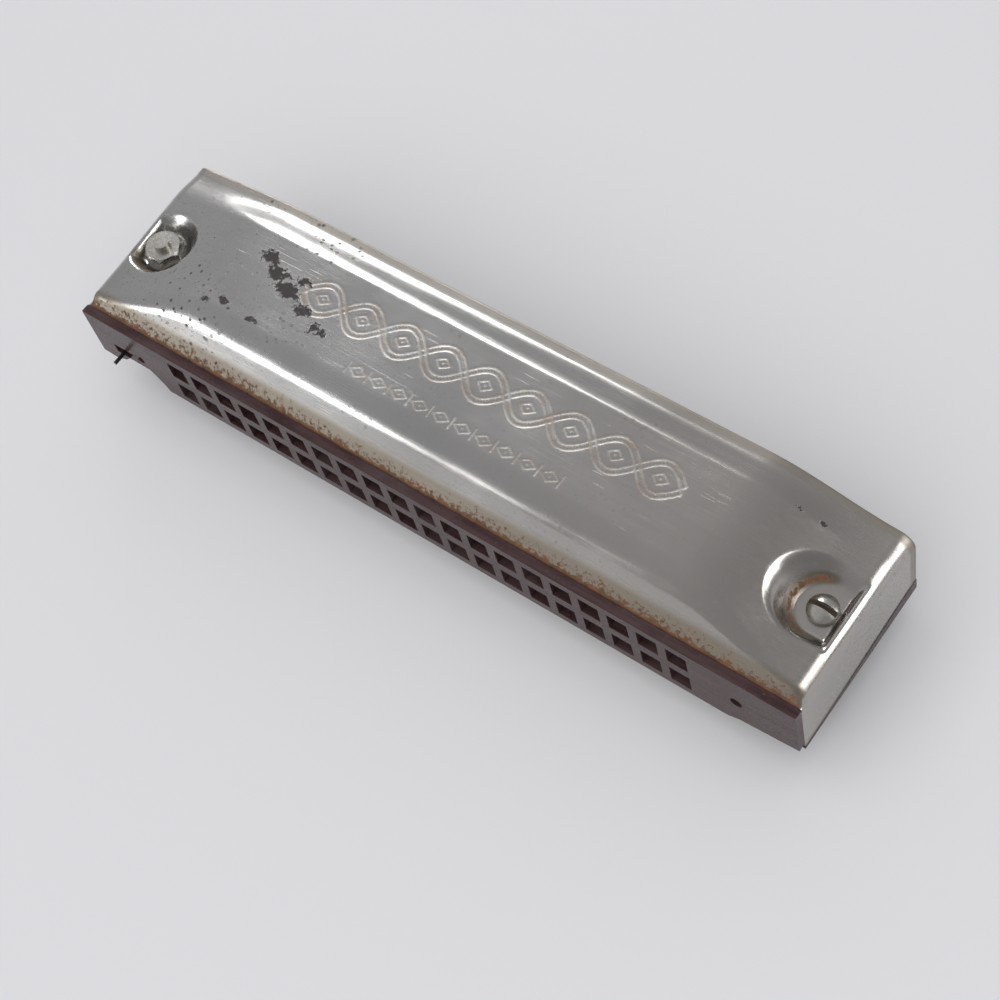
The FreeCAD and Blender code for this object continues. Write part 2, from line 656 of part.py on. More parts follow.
def cover_shape(wall_foot):
    """Stamped cover, built on its seat at Z = 0 with its crown upwards."""
    half_length = dim("comb_length") / 2
    half_depth = dim("comb_depth") / 2
    skin = Part.makeLoft([sheet_section(x) for x in cover_stations()], True, True)
    filled = Part.makeLoft([filled_section(x) for x in cover_stations()], True, True)
    shape = skin.fuse([end_wall(-1, wall_foot), end_wall(1, wall_foot)])
    corner = FreeCAD.Vector(-half_length, 0, 0)
    above_seat = Part.makeBox(2 * half_length, 2 * half_depth, 2 * dim("cover_rise"), corner)
    seat_corner = [(dim("cover_back"), 0)]
    envelope = filled.fuse([end_wall(-1, seat_corner), end_wall(1, seat_corner)])
    for x in (-BOLT_X, BOLT_X):
        plug = recess_cone(x, 0)
        cup = plug.cut(recess_cone(x, dim("cover_sheet"))).common(envelope)
        below = FreeCAD.Vector(x, half_depth, -dim("cover_sheet"))
        hole = Part.makeCylinder(dim("bolt_hole_radius"), 3 * dim("cover_sheet"), below)
        shape = shape.cut(plug.common(above_seat)).fuse(cup).cut(hole)
    return shape.removeSplitter()


def make_cover(label, up):
    """Top or bottom cover; only the top one has walls that run down over the comb's ends."""
    front = dim("cover_front")
    back = dim("cover_back")
    if up > 0:
        slope = (dim("ledge_back") - dim("ledge_front")) / (dim("comb_depth") + 1 - dim("end_rebate_front"))
        low = dim("ledge_front") - dim("comb_height") + dim("rebate_clearance")
        wall_foot = [(y, low + slope * (y - front)) for y in (back, front)]
    else:
        wall_foot = [(back, 0)]
    shape = cover_shape(wall_foot)
    if up < 0:
        shape = shape.mirror(FreeCAD.Vector(0, 0, 0), FreeCAD.Vector(0, 0, 1))
    item = doc.addObject("Part::Feature", label + "_sheet")
    item.Shape = shape
    item.Placement = moved(0, COMB_FRONT, MIDDLE + up * SEAT)
    keep(label, item)


# --- bolts and nuts -----------------------------------------------------------------------------


def make_bolt(label, x, up):
    """Round-headed slotted bolt, drawn head up from its seat at the body's own origin."""
    body = new_body(label)
    profile = new_sketch(body, label + "_profile", "XZ_Plane")
    radius = dim("head_radius")
    rim = dim("head_rim")
    height = dim("head_height")
    shank = dim("bolt_radius")
    length = 2 * (SEAT + dim("cover_sheet")) + dim("nut_height") + dim("bolt_end")
    corners = [(0, height), (radius, rim), (radius, 0), (shank, 0), (shank, -length), (0, -length)]
    spots = [FreeCAD.Vector(across, along, 0) for across, along in corners]
    rise = height - rim
    ball = (radius * radius + rise * rise) / (2 * rise)
    half_angle = math.asin(radius / ball) / 2
    bow = FreeCAD.Vector(ball * math.sin(half_angle), height - ball + ball * math.cos(half_angle), 0)
    sketch_edges = [Part.Arc(spots[0], bow, spots[1])]
    sketch_edges += [Part.LineSegment(spots[index], spots[index + 1]) for index in range(1, len(spots) - 1)]
    sketch_edges.append(Part.LineSegment(spots[-1], spots[0]))
    profile.addGeometry(sketch_edges, False)
    doc.recompute()
    turned = body.newObject("PartDesign::Revolution", label + "_turned")
    turned.Profile = profile
    turned.ReferenceAxis = (profile, ["V_Axis"])
    turned.Angle = 360
    doc.recompute()
    driver = new_sketch(body, label + "_driver_slot", "XY_Plane", height)
    half_cut = dim("slot_cut_width") / 2
    reach = radius + 1
    add_polygon(driver, [(-reach, -half_cut), (reach, -half_cut), (reach, half_cut), (-reach, half_cut)])
    pocket(body, driver, "Dims.slot_cut_depth")
    seat = MIDDLE + up * (SEAT + dim("cover_sheet"))
    turn = FreeCAD.Rotation() if up > 0 else FreeCAD.Rotation(FreeCAD.Vector(1, 0, 0), 180)
    body.Placement = FreeCAD.Placement(FreeCAD.Vector(x, 0, seat), turn)
    keep(label, body)


def make_nut(label, x, up):
    """Hexagon nut, drawn upwards from its seat at the body's own origin."""
    body = new_body(label)
    sketch = new_sketch(body, label + "_outline", "XY_Plane")
    corner = dim("nut_flats") / math.sqrt(3)
    angles = [math.radians(60 * index) for index in range(6)]
    add_polygon(sketch, [(corner * math.cos(angle), corner * math.sin(angle)) for angle in angles])
    bore = Part.Circle(FreeCAD.Vector(0, 0, 0), FreeCAD.Vector(0, 0, 1), dim("bolt_radius"))
    index = sketch.addGeometry(bore, False)
    sketch.addConstraint(Sketcher.Constraint("Coincident", index, 3, -1, 1))
    bind(sketch, Sketcher.Constraint("Radius", index, bore.Radius), "bore", "Dims.bolt_radius")
    pad(body, sketch, "Dims.nut_height")
    trim = new_sketch(body, label + "_trim", "XZ_Plane")
    top = dim("nut_height")
    above = top + 0.1
    low = top - dim("nut_chamfer")
    flat = dim("nut_flats") / 2
    outside = corner + 1
    add_polygon(trim, [(flat, above), (flat, top), (corner, low), (outside, low), (outside, above)])
    rounded = body.newObject("PartDesign::Groove", label + "_rounding")
    rounded.Profile = trim
    rounded.ReferenceAxis = (trim, ["V_Axis"])
    rounded.Angle = 360
    doc.recompute()
    seat = MIDDLE + up * (SEAT + dim("cover_sheet"))
    turn = FreeCAD.Rotation() if up > 0 else FreeCAD.Rotation(FreeCAD.Vector(1, 0, 0), 180)
    body.Placement = FreeCAD.Placement(FreeCAD.Vector(x, 0, seat), turn)
    keep(label, body)


# --- slide return spring ------------------------------------------------------------------------


def make_slide_spring():
    """Bent wire: an upright leg in the comb and an arm that reaches out of the front."""
    body = new_body("slide_return_spring")
    radius = dim("spring_bend_radius")
    leg = dim("spring_pin_height")
    arm = dim("spring_pivot_y") + dim("spring_reach")
    spine = new_sketch(body, "spring_path", "YZ_Plane")
    top = FreeCAD.Vector(0, leg, 0)
    bend_top = FreeCAD.Vector(0, radius, 0)
    bend_middle = FreeCAD.Vector(-radius * (1 - math.sqrt(0.5)), radius * (1 - math.sqrt(0.5)), 0)
    bend_end = FreeCAD.Vector(-radius, 0, 0)
    tip = FreeCAD.Vector(-arm, 0, 0)
    bend = Part.Arc(bend_top, bend_middle, bend_end)
    spine.addGeometry([Part.LineSegment(top, bend_top), bend, Part.LineSegment(bend_end, tip)], False)
    profile = new_sketch(body, "spring_wire", "XY_Plane", leg)
    wire = Part.Circle(FreeCAD.Vector(0, 0, 0), FreeCAD.Vector(0, 0, 1), dim("spring_wire_radius"))
    index = profile.addGeometry(wire, False)
    profile.addConstraint(Sketcher.Constraint("Coincident", index, 3, -1, 1))
    bind(profile, Sketcher.Constraint("Radius", index, wire.Radius), "wire_radius", "Dims.spring_wire_radius")
    doc.recompute()
    pipe = body.newObject("PartDesign::AdditivePipe", "spring_pipe")
    pipe.Profile = profile
    pipe.Spine = spine
    doc.recompute()
    x = COMB_LEFT + dim("spring_pivot_x")
    y = COMB_FRONT + dim("spring_pivot_y")
    z = COMB_BOTTOM + dim("spring_cavity_floor") + dim("spring_lift")
    body.Placement = moved(x, y, z)
    keep("slide_return_spring", body)


def check_and_export():
    """Stop on any failed object or bad shape, then write every sub-part."""
    doc.recompute()
    for item in doc.Objects:
        if "Invalid" in item.State or "Error" in item.State:
            raise RuntimeError("%s failed: %s" % (item.Label, item.State))
    os.makedirs("parts", exist_ok=True)
    for item in SUBPARTS:
        if item.Shape.isNull() or not item.Shape.isValid() or not item.Shape.Solids:
            raise RuntimeError(item.Label + " has a bad shape")
        item.Shape.exportStep("parts/%s.step" % item.Label)
        print(item.Label, len(item.Shape.Solids), round(item.Shape.Volume, 2))


make_comb()
make_reed_plate("upper_reed_plate", MIDDLE + PLATE_INNER)
make_reed_plate("lower_reed_plate", MIDDLE - SEAT)
for side, up in (("upper", 1), ("lower", -1)):
    make_reeds(side, up)
    make_rivets(side, up)
    make_valves(side, up)
    make_nails(side, up)
make_cover("top_cover", 1)
make_cover("bottom_cover", -1)
make_bolt("right_cover_bolt", BOLT_X, 1)
make_nut("right_cover_nut", BOLT_X, -1)
make_bolt("left_cover_bolt", -BOLT_X, -1)
make_nut("left_cover_nut", -BOLT_X, 1)
make_slide_spring()
check_and_export()
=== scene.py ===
"""Looks of a worn chromatic harmonica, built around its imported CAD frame.

Lengths are millimetres unless a comment says otherwise.
"""
import json
import math

import bpy
import numpy as np
from mathutils import Matrix, Vector


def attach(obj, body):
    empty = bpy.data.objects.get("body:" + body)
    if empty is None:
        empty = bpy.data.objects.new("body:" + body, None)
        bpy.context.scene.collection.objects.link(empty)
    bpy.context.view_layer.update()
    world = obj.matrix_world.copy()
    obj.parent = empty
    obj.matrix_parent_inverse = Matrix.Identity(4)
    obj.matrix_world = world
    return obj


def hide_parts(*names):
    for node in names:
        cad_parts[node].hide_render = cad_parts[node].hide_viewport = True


MM = 0.001
BODY = "harmonica_body"

# --- sizes shared with the CAD model --------------------------------------------------------------

CENTRE_Z = 12.9            # height of the comb's mid-plane
SEAT = 5.9                 # from the mid-plane to a cover's seat
COMB_END = 61.4            # half the comb's length
FRONT_Y = -12.8            # cover's front edge
STEP_Y = (8.0, 12.9)       # where the cover steps down from its crown to its back flange
BACK_Y = 14.1              # cover's back edge
CROWN_RISE = 7.0           # crown above the seat, midway
END_RISE = 2.0             # crown above the seat, at each end
FLANGE_RISE = 5.0          # back flange above the seat, midway
END_FLANGE_RISE = 1.6      # back flange above the seat, at each end
RAMP = 21.0                # length of the slope down to each end
FRONT_FLANK = math.radians(58)
SHOULDER = 5.0             # radius between the front flank and the crown
END_SHOULDER = 0.7         # most that the radius may be, as a share of the rise
SHEET = 0.45               # thickness of the cover's metal
BOLT_X = 56.5              # cover bolts from the middle
LEDGE_FRONT = -11.4        # foot of the top cover's end wall, from the seat, at the front
LEDGE_SLOPE = 0.0747       # rise of that foot towards the back

# --- sizes of the finer visual covers -------------------------------------------------------------

LEFT_TILT = 1.5            # the left end is bent up by this much at its back corner
ROLL = 2.3                 # width of the rounding at each end
ROLL_DROP = 2.4            # height of the rounding at each end
ROLL_STEPS = 10            # rows over that rounding
WALL_STEPS = 14            # rows down the end wall under it
RIDGE_START = 2.2          # inner foot of the ridge at the cover's end, from the bolt's axis
RIDGE_WIDTH = 1.4
SHORT_END = 0.6            # the bottom cover's ends stop this far inside the comb's
RECESSES = (               # bolt's place, floor radius, least width of the wall, share drawn out to the end
    (-BOLT_X, 2.9, 1.1, 0.15),
    (BOLT_X, 3.3, 1.6, 1.0),
)
TOP_ROWS = (14, 18, 74, 26, 6)       # rows over the flank, shoulder, crown, step and flange
BOTTOM_ROWS = (8, 12, 30, 14, 3)
FINE_FROM, FINE_TO = -31.0, 35.0     # engraved length of the crown, with the closest stations
END_ZONE = 49.0                      # start of the closer stations around each bolt
FINE_STEP, END_STEP, COARSE_STEP = 0.175, 0.2, 0.42
LONG_DENT, SHORT_DENT = (0.035, 17.0, 3), (0.005, 5.0, 5)     # depth, wave length, pattern number
MOST_DENT = 0.04           # the sheet lies this far inside its grid, so that no bulge passes the CAD size
CUT_DEPTH = 0.05           # depth of the engraving

# --- helpers --------------------------------------------------------------------------------------


def smooth(share):
    """Smooth step of a number or an array, from 0 at 0 to 1 at 1."""
    share = np.clip(share, 0.0, 1.0)
    return share * share * (3 - 2 * share)


def mix(low, high, share):
    """Value between low and high, at a share from 0 to 1."""
    return low + (high - low) * share


def ripple(x, y, scale, seed):
    """Smooth pseudo-random unevenness of about -1 to 1, from a few crossed sine waves."""
    total = 0.0
    for step in range(5):
        angle = seed * 1.7 + step * 2.4
        wave = (x * math.cos(angle) + y * math.sin(angle)) / (scale * (0.6 + 0.23 * step))
        total = total + np.sin(wave * 2 * math.pi + seed * (step + 1) * 1.3)
    return total / 3.0


def new_object(name, vertices, faces, material):
    """Mesh object from millimetre vertices, riding on the harmonica's own body."""
    mesh = bpy.data.meshes.new(name)
    mesh.from_pydata((np.asarray(vertices, float) * MM).tolist(), [], faces)
    mesh.update()
    piece = bpy.data.objects.new(name, mesh)
    bpy.context.scene.collection.objects.link(piece)
    mesh.materials.append(material)
    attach(piece, BODY)
    return piece


def add_attribute(piece, name, values):
    """Number per vertex that a material can read."""
    attribute = piece.data.attributes.new(name, "FLOAT", "POINT")
    attribute.data.foreach_set("value", np.asarray(values, np.float32).ravel())


# --- node helpers ---------------------------------------------------------------------------------


class Nodes:
    """Short calls for building one material's node tree."""

    def __init__(self, name):
        self.material = bpy.data.materials.new(name)
        self.material.use_nodes = True
        self.tree = self.material.node_tree
        self.shader = self.tree.nodes["Principled BSDF"]
        self.place = self.tree.nodes.new("ShaderNodeNewGeometry").outputs["Position"]

    def put(self, socket, value):
        """Links a socket's output, or sets a plain number or colour, on an input socket."""
        if isinstance(value, bpy.types.NodeSocket):
            self.tree.links.new(value, socket)
        elif isinstance(value, tuple) and len(value) == 3 and socket.type == "RGBA":
            socket.default_value = (*value, 1.0)
        else:
            socket.default_value = value

    def math(self, operation, first, second=0.0):
        """Result of one operation on numbers or sockets."""
        node = self.tree.nodes.new("ShaderNodeMath")
        node.operation = operation
        self.put(node.inputs[0], first)
        self.put(node.inputs[1], second)
        return node.outputs[0]

    def plus(self, first, second):
        """Sum of two numbers or sockets."""
        return self.math("ADD", first, second)

    def minus(self, first, second):
        """Difference of two numbers or sockets."""
        return self.math("SUBTRACT", first, second)

    def times(self, first, second):
        """Product of two numbers or sockets."""
        return self.math("MULTIPLY", first, second)

    def most(self, first, second):
        """Larger of two numbers or sockets."""
        return self.math("MAXIMUM", first, second)

    def ramp(self, value, low, high, start=0.0, end=1.0):
        """Smooth change from start to end as value goes from low to high."""
        node = self.tree.nodes.new("ShaderNodeMapRange")
        node.interpolation_type = "SMOOTHSTEP"
        self.put(node.inputs["Value"], value)
        for name, number in (("From Min", low), ("From Max", high), ("To Min", start), ("To Max", end)):
            node.inputs[name].default_value = number
        return node.outputs["Result"]

    def blend(self, share, first, second):
        """Mix of two colours."""
        node = self.tree.nodes.new("ShaderNodeMix")
        node.data_type = "RGBA"
        self.put(node.inputs["Factor"], share)
        colours = [socket for socket in node.inputs if socket.type == "RGBA"]
        self.put(colours[0], first)
        self.put(colours[1], second)
        return [socket for socket in node.outputs if socket.type == "RGBA"][0]

    def stretched(self, scale, turn=(0.0, 0.0, 0.0)):
        """Position in metres, turned and multiplied by a scale per axis."""
        node = self.tree.nodes.new("ShaderNodeMapping")
        self.put(node.inputs["Vector"], self.place)
        node.inputs["Rotation"].default_value = turn
        node.inputs["Scale"].default_value = scale
        return node.outputs["Vector"]

    def noise(self, per_metre, detail=4.0, roughness=0.55, vector=None):
        """Cloudy noise from about 0.2 to 0.8, with that many features per metre."""
        node = self.tree.nodes.new("ShaderNodeTexNoise")
        self.put(node.inputs["Vector"], self.place if vector is None else vector)
        node.inputs["Scale"].default_value = per_metre
        node.inputs["Detail"].default_value = detail
        node.inputs["Roughness"].default_value = roughness
        return node.outputs["Fac"]

    def cells(self, per_metre):
        """Distance to the nearest of many scattered points, as a share of their spacing."""
        node = self.tree.nodes.new("ShaderNodeTexVoronoi")
        node.feature = "F1"
        self.put(node.inputs["Vector"], self.place)
        node.inputs["Scale"].default_value = per_metre
        return node.outputs["Distance"]

    def value(self, name):
        """Number stored on the mesh's vertices."""
        node = self.tree.nodes.new("ShaderNodeAttribute")
        node.attribute_name = name
        return node.outputs["Fac"]

    def bump(self, height, strength, distance):
        """Bump on the shader; distance is in millimetres."""
        node = self.tree.nodes.new("ShaderNodeBump")
        self.put(node.inputs["Height"], height)
        node.inputs["Strength"].default_value = strength
        node.inputs["Distance"].default_value = distance * MM
        if self.shader.inputs["Normal"].links:
            self.tree.links.new(self.shader.inputs["Normal"].links[0].from_socket, node.inputs["Normal"])
        self.tree.links.new(node.outputs["Normal"], self.shader.inputs["Normal"])

    def set(self, **values):
        """Sets the shader's inputs; Base_Color stands for Base Color."""
        for name, value in values.items():
            self.put(self.shader.inputs[name.replace("_", " ")], value)


# --- materials ------------------------------------------------------------------------------------


def nickel_rust(n, clouds):
    """Rust, dense at the foot of a cover and breaking up into specks above, and the dull stain around it."""
    reach = n.value("edge_rust")
    grains = n.noise(1500.0, 6.0, 0.7)
    level = n.plus(n.times(reach, 0.45), n.times(grains, 0.9))
    rust = n.ramp(n.plus(level, n.times(clouds, 0.15)), 0.76, 0.86)
    stain = n.ramp(n.plus(n.times(reach, 2.0), n.times(clouds, 0.3)), 0.25, 0.95)
    return rust, stain


def nickel_corrosion(n):
    """Black corrosion: blotches broken up by grain, and scattered pits and specks."""
    fine_crumbs = n.noise(1700.0, 6.0, 0.78)
    coarse_crumbs = n.noise(520.0, 4.0, 0.7)
    crumbs = n.plus(n.times(fine_crumbs, 0.62), n.times(coarse_crumbs, 0.45))
    black = n.ramp(n.plus(n.times(n.value("corrosion"), 0.31), crumbs), 0.71, 0.76)
    pit_places = n.ramp(n.noise(75.0, 3.0), 0.46, 0.60)
    pits = n.times(n.ramp(n.cells(800.0), 0.15, 0.30, 1.0, 0.0), pit_places)
    specks = n.ramp(n.noise(2600.0, 3.0, 0.7), 0.61, 0.70)
    return n.most(black, n.times(n.most(pits, specks), n.value("pitting")))


def nickel_material():
    """Worn nickel plate: fine scratches, dull clouds, pits, rust at the edges and black corrosion."""
    dim_plate, bright_plate = (0.37, 0.363, 0.35), (0.49, 0.485, 0.475)
    warm_plate, stained_plate = (0.40, 0.365, 0.335), (0.26, 0.225, 0.175)
    clean_cut, rusty_cut = (0.52, 0.51, 0.48), (0.36, 0.28, 0.21)
    dark_rust, orange_rust = (0.045, 0.025, 0.016), (0.27, 0.125, 0.05)
    black = (0.035, 0.028, 0.028)
    n = Nodes("worn_nickel")
    clouds = n.noise(55.0, 5.0)
    fine = n.noise(900.0, 4.0, 0.6)
    along = n.noise(1.0, 3.0, 0.6, n.stretched((160.0, 5200.0, 2500.0)))
    slanting = n.noise(1.0, 2.0, 0.5, n.stretched((90.0, 6500.0, 90.0), (0.0, 0.0, 0.16)))
    scratches = n.times(n.ramp(slanting, 0.66, 0.74), n.ramp(n.noise(120.0, 2.0), 0.45, 0.62))
    rust, stain = nickel_rust(n, clouds)
    dark = nickel_corrosion(n)
    cut = n.value("engraving")

    metal = n.blend(clouds, dim_plate, bright_plate)
    metal = n.blend(n.times(n.value("warmth"), 0.6), metal, warm_plate)
    metal = n.blend(n.times(stain, 0.85), metal, stained_plate)
    metal = n.blend(cut, metal, n.blend(n.ramp(n.noise(420.0, 4.0), 0.35, 0.7), clean_cut, rusty_cut))
    metal = n.blend(rust, metal, n.blend(n.noise(700.0, 3.0), dark_rust, orange_rust))
    metal = n.blend(dark, metal, black)
    metallic = n.minus(1.0, n.most(n.times(rust, 0.85), dark))
    dull = n.plus(n.ramp(clouds, 0.3, 0.75, 0.19, 0.28), n.ramp(along, 0.3, 0.8, -0.02, 0.06))
    dull = n.plus(dull, n.times(stain, 0.25))
    dull = n.plus(dull, n.times(cut, 0.16))
    crust = n.most(rust, dark)
    n.set(Base_Color=metal, Metallic=metallic, Roughness=n.most(dull, n.times(crust, 0.75)))
    n.bump(along, 0.10, 0.02)
    n.bump(scratches, 0.5, -0.01)
    n.bump(fine, 0.08, 0.01)
    n.bump(crust, 0.7, 0.02)
    return n.material


def lacquer_material():
    """Worn maroon-brown lacquer over wood, with the grain showing and lighter rubbed patches."""
    dark_grain, light_grain = (0.036, 0.017, 0.018), (0.072, 0.040, 0.041)
    rubbed, chipped = (0.088, 0.062, 0.064), (0.24, 0.17, 0.15)
    n = Nodes("comb_lacquer")
    grain = n.noise(1.0, 5.0, 0.6, n.stretched((110.0, 900.0, 2600.0)))
    patches = n.noise(95.0, 4.0)
    specks = n.noise(1400.0, 4.0, 0.7)
    colour = n.blend(n.ramp(grain, 0.3, 0.7), dark_grain, light_grain)
    colour = n.blend(n.ramp(patches, 0.45, 0.75, 0.0, 0.7), colour, rubbed)
    colour = n.blend(n.ramp(specks, 0.62, 0.75, 0.0, 0.35), colour, chipped)
    rough = n.plus(n.ramp(patches, 0.3, 0.8, 0.20, 0.42), n.ramp(specks, 0.4, 0.8, 0.0, 0.10))
    n.set(Base_Color=colour, Roughness=rough, Specular_IOR_Level=0.2)
    n.bump(grain, 0.25, 0.06)
    n.bump(specks, 0.15, 0.03)
    return n.material


def brass_material(name, light, dark, clouds_per_metre):
    """Tarnished brass with brown clouds and faint file marks."""
    spotted = (0.09, 0.055, 0.03)
    n = Nodes(name)
    clouds = n.noise(clouds_per_metre, 5.0, 0.6)
    marks = n.noise(1.0, 3.0, 0.6, n.stretched((4200.0, 260.0, 900.0)))
    colour = n.blend(n.ramp(clouds, 0.3, 0.72), light, dark)
    colour = n.blend(n.ramp(n.noise(1300.0, 3.0), 0.62, 0.72, 0.0, 0.7), colour, spotted)
    n.set(Base_Color=colour, Metallic=1.0)
    n.set(Roughness=n.plus(n.ramp(clouds, 0.2, 0.8, 0.24, 0.5), n.ramp(marks, 0.3, 0.8, 0.0, 0.1)))
    n.bump(marks, 0.2, 0.02)
    return n.material


def painted_slot_shade(n):
    """1 inside the screwdriver slots, which run along X through the heads of the cover bolts, where painted
    shade darkens them.
    """
    axes = n.tree.nodes.new("ShaderNodeSeparateXYZ")
    n.put(axes.inputs[0], n.place)
    from_axis = n.math("ABSOLUTE", axes.outputs["Y"])
    above_centre = n.minus(axes.outputs["Z"], CENTRE_Z * MM)
    height = n.math("ABSOLUTE", above_centre)
    narrow = n.ramp(from_axis, 0.36 * MM, 0.42 * MM, 1.0, 0.0)
    below_crown = n.ramp(height, 7.35 * MM, 7.65 * MM, 1.0, 0.0)
    above_seat = n.ramp(height, 6.9 * MM, 7.0 * MM)
    on_head = n.ramp(n.times(axes.outputs["X"], above_centre), 0.0, MM * MM)
    return n.times(n.times(narrow, on_head), n.times(below_crown, above_seat))


def steel_material(name, colour, rust_amount, slotted=False):
    """Steel fastener or wire with rust in patches, and painted shade in its screwdriver slot."""
    # the second colour is the painted shade laid into the screwdriver slots
    rust_brown, slot_shade_colour = (0.30, 0.13, 0.05), (0.045, 0.028, 0.018)
    n = Nodes(name)
    clouds = n.noise(420.0, 4.0, 0.6)
    grains = n.noise(2200.0, 4.0, 0.7)
    onset = 0.86 - 0.3 * rust_amount
    rust = n.ramp(n.plus(n.times(clouds, 0.7), n.times(grains, 0.4)), onset, onset + 0.09)
    shade = n.blend(n.ramp(clouds, 0.3, 0.7), colour, tuple(0.72 * share for share in colour))
    shade = n.blend(rust, shade, rust_brown)
    # the slots are filled with a dark painted shade that stands in for the shade inside them
    if slotted:
        in_slot = painted_slot_shade(n)
        rust = n.most(rust, in_slot)
        shade = n.blend(in_slot, shade, slot_shade_colour)
    n.set(Base_Color=shade, Metallic=n.minus(1.0, n.times(rust, 0.8)))
    n.set(Roughness=n.most(n.ramp(grains, 0.3, 0.7, 0.18, 0.34), n.times(rust, 0.8)))
    n.bump(grains, 0.15, 0.006)
    n.bump(rust, 0.3, 0.01)
    return n.material


def leather_material():
    """Thin cream leather strips, yellowed and a little fibrous."""
    cream, yellowed, fibre_tips = (0.56, 0.45, 0.30), (0.36, 0.25, 0.15), (0.66, 0.57, 0.42)
    n = Nodes("valve_leather")
    fibre = n.noise(1.0, 4.0, 0.6, n.stretched((3800.0, 1200.0, 3000.0)))
    stains = n.noise(210.0, 4.0)
    colour = n.blend(n.ramp(stains, 0.35, 0.7), cream, yellowed)
    colour = n.blend(n.ramp(fibre, 0.4, 0.8, 0.0, 0.4), colour, fibre_tips)
    n.set(Base_Color=colour, Roughness=0.78, Sheen_Weight=0.2)
    n.bump(fibre, 0.5, 0.04)
    return n.material


def floor_material():
    """Plain pale paper."""
    n = Nodes("paper")
    n.set(Base_Color=(0.72, 0.72, 0.735), Roughness=0.7)
    n.bump(n.noise(700.0, 3.0), 0.04, 0.02)
    return n.material


# --- covers ---------------------------------------------------------------------------------------


def cover_rows(x, counts):
    """Section points of the outer skin at the stations x: arrays y and z, one row per station."""
    level = smooth((COMB_END - SHEET - np.abs(x)) / RAMP)[:, np.newaxis]
    rise = mix(END_RISE, CROWN_RISE, level)
    flange = mix(END_FLANGE_RISE, FLANGE_RISE, level)
    radius = np.minimum(SHOULDER, END_SHOULDER * rise)
    corner = FRONT_Y + rise / math.tan(FRONT_FLANK)
    reach = radius * math.tan(FRONT_FLANK / 2)
    flank, arc, crown, step, lip = [np.linspace(0, 1, count + 1)[:-1] for count in counts]
    lip = np.append(lip, 1.0)
    angle = FRONT_FLANK * (1 - arc)
    y = np.hstack([
        mix(FRONT_Y, corner - reach * math.cos(FRONT_FLANK), flank),
        corner + reach - radius * np.sin(angle),
        mix(corner + reach, STEP_Y[0], crown),
        mix(STEP_Y[0], STEP_Y[1], step) + 0 * rise,
        mix(STEP_Y[1], BACK_Y, lip) + 0 * rise,
    ])
    z = np.hstack([
        mix(0.0, rise - reach * math.sin(FRONT_FLANK), flank),
        rise - radius + radius * np.cos(angle),
        rise + 0 * crown,
        mix(rise, flange, smooth(step)),
        flange + 0 * lip,
    ])
    tilt = LEFT_TILT * (1 - level) * (x < 0)[:, np.newaxis]
    return y, z + tilt * smooth((y - FRONT_Y) / (BACK_Y - FRONT_Y)) * smooth(z / END_RISE)


def station_list():
    """Stations along X up to where the ends start to roll over, closer together where detail needs it."""
    edge = COMB_END - ROLL
    spans = (
        (-edge, -END_ZONE, END_STEP),
        (-END_ZONE, FINE_FROM, COARSE_STEP),
        (FINE_FROM, FINE_TO, FINE_STEP),
        (FINE_TO, END_ZONE, COARSE_STEP),
        (END_ZONE, edge, END_STEP),
    )
    stations = []
    for start, end, step in spans:
        count = int(round((end - start) / step))
        stations += list(np.linspace(start, end, count + 1)[:-1])
    return np.array(stations + [edge])


def recess(x, y, z, bolt_x, floor_radius, ease, run_out):
    """Lowers the skin around a bolt into a stamped bowl; where run_out is 1 it reaches a ridge at the end."""
    out = (x - bolt_x) * np.sign(bolt_x)
    reach = np.where(out > 0, out * (1 - run_out), out)
    width = ease + 0.6 * np.maximum(z - SHEET, 0)
    bowl = smooth((np.hypot(reach, y) - floor_radius) / width)
    ridge = smooth((out - RIDGE_START) / RIDGE_WIDTH)
    return np.where(z > SHEET, mix(SHEET, z, np.maximum(bowl, ridge)), z)


def top_foot(y):
    """Foot of the top cover's end walls, on the comb's sloping ledge."""
    return LEDGE_FRONT + LEDGE_SLOPE * (y - FRONT_Y)


def bottom_foot(y):
    """Foot of the bottom cover's end walls, at its seat."""
    return 0 * y


def end_parts(side, counts, recesses, wall_foot):
    """Rows of points over the rounding at one end and down its wall, from the crown outwards."""
    parts = []
    for angle in np.linspace(0, math.pi / 2, ROLL_STEPS + 1)[1:]:
        out = side * (COMB_END - ROLL + ROLL * math.sin(angle))
        y, z = cover_rows(np.array([side * min(abs(out), COMB_END - SHEET)]), counts)
        x = np.full_like(y, out)
        for place in recesses:
            z = recess(x, y, z, *place)
        deepest = np.minimum(ROLL_DROP, 0.9 * (z - wall_foot(y)))
        drop = deepest * (1 - math.cos(angle)) * np.minimum(1, z / 1.5 + 0.05)
        parts.append((x, y, z - drop))
    last_x, last_y, last_z = parts[-1]
    foot = wall_foot(last_y)
    for step in range(1, WALL_STEPS + 1):
        parts.append((last_x, last_y, mix(last_z, foot, step / WALL_STEPS)))
    return parts


def cover_grid(counts, recesses, wall_foot):
    """Points of a cover's outer skin as a grid: stations along X, rows from front to back."""
    stations = station_list()
    y, z = cover_rows(stations, counts)
    x = np.repeat(stations[:, np.newaxis], y.shape[1], axis=1)
    for place in recesses:
        z = recess(x, y, z, *place)
    before = end_parts(-1, counts, recesses, wall_foot)[::-1]
    after = end_parts(1, counts, recesses, wall_foot)
    grid = []
    for index, middle in enumerate((x, y, z)):
        grid.append(np.vstack([part[index] for part in before] + [middle] + [part[index] for part in after]))
    return np.stack(grid, axis=-1)


def grid_normals(grid):
    """Unit normals of a grid of points, pointing out of the cover."""
    along = np.gradient(grid, axis=0)
    across = np.gradient(grid, axis=1)
    normal = np.cross(along, across)
    return normal / np.maximum(np.linalg.norm(normal, axis=-1, keepdims=True), 1e-9)


